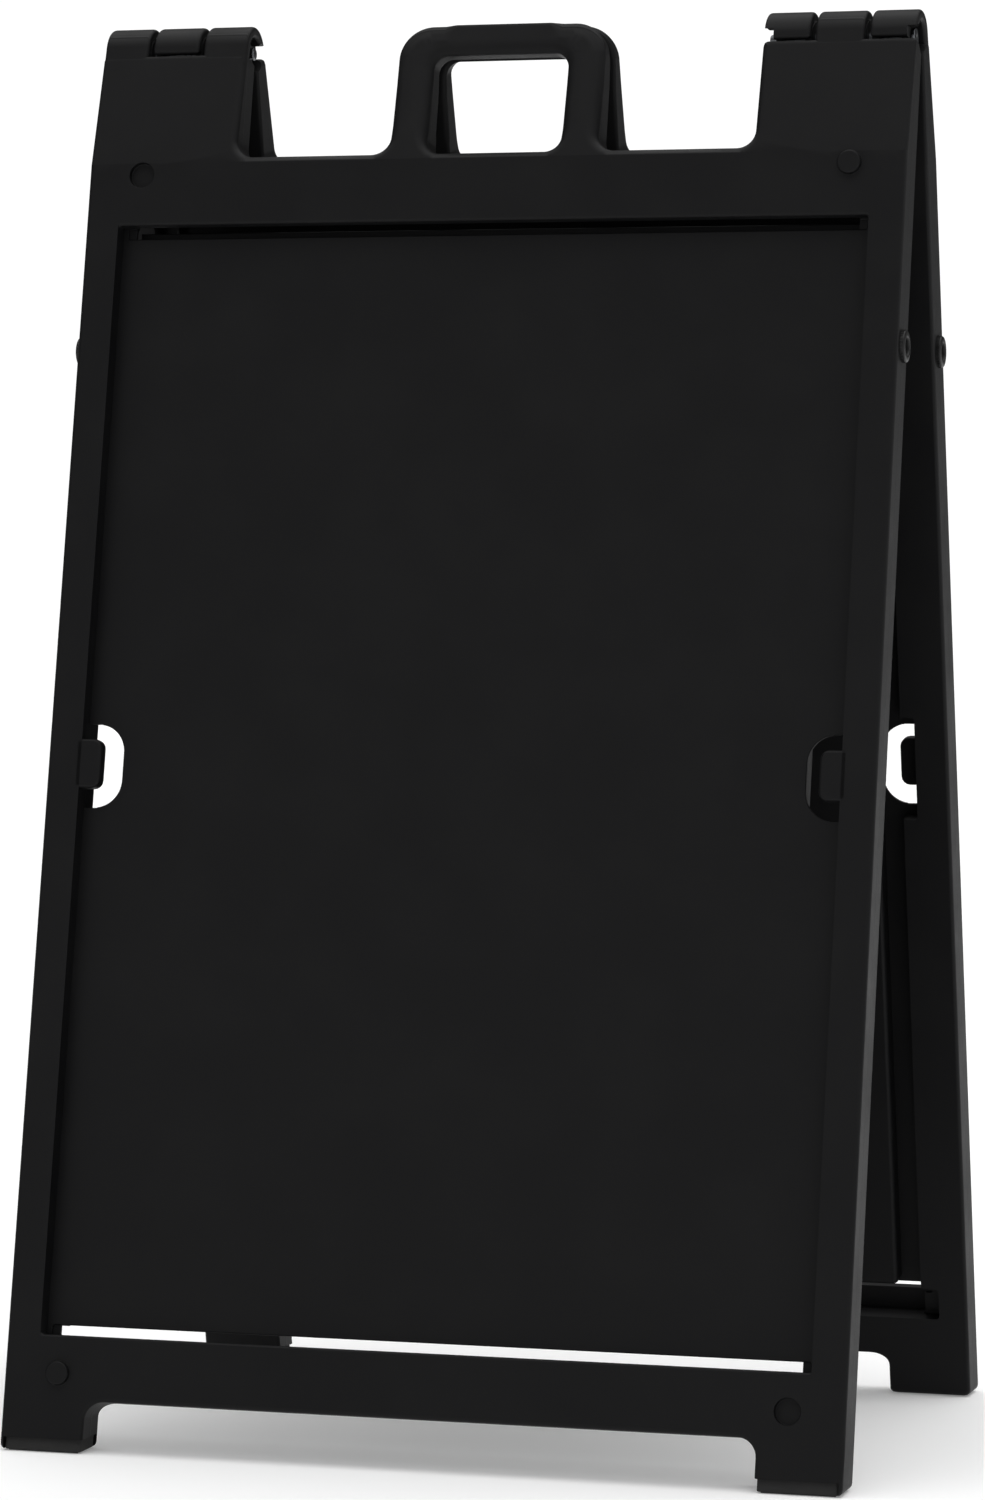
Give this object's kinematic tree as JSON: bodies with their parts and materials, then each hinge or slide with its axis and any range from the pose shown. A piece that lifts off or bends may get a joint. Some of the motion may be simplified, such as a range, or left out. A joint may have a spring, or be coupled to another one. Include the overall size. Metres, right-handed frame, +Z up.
{
  "type": "sandwich board",
  "caption": "Folding A-frame sidewalk sign of two hinged hollow plastic panels with recesses for sign sheets, a carrying handle and rubber feet.",
  "frame": {"origin": "on the ground, under the middle of the open board", "axes": "+Z up, +X to the right across the front panel, -Y the way the front panel faces"},
  "size_m": [0.675, 0.5048, 1.1144],
  "materials": {
    "panel_plastic": "satin, fine moulded grain",
    "plug_plastic": "satin",
    "foot_rubber": "matte",
    "rod_steel": "zinc plated, satin",
    "clip_steel": "spring steel, satin"
  },
  "bodies": {
    "front": {"front_panel": "panel_plastic", "front_left_foot_pad": "foot_rubber", "front_right_foot_pad": "foot_rubber", "front_left_filler_plug": "plug_plastic", "front_right_filler_plug": "plug_plastic", "left_hinge_rod": "rod_steel", "left_rod_clip": "clip_steel"},
    "rear": {"rear_panel": "panel_plastic", "rear_left_foot_pad": "foot_rubber", "rear_right_foot_pad": "foot_rubber", "rear_left_filler_plug": "plug_plastic", "rear_right_filler_plug": "plug_plastic", "right_hinge_rod": "rod_steel", "right_rod_clip": "clip_steel"}
  },
  "joints": [
    {"name": "fold", "type": "hinge", "parent": "front", "child": "rear", "pos_m": [0, 0, 1.09238], "axis": [1, 0, 0], "range_deg": [-22.3, 0]}
  ]
}
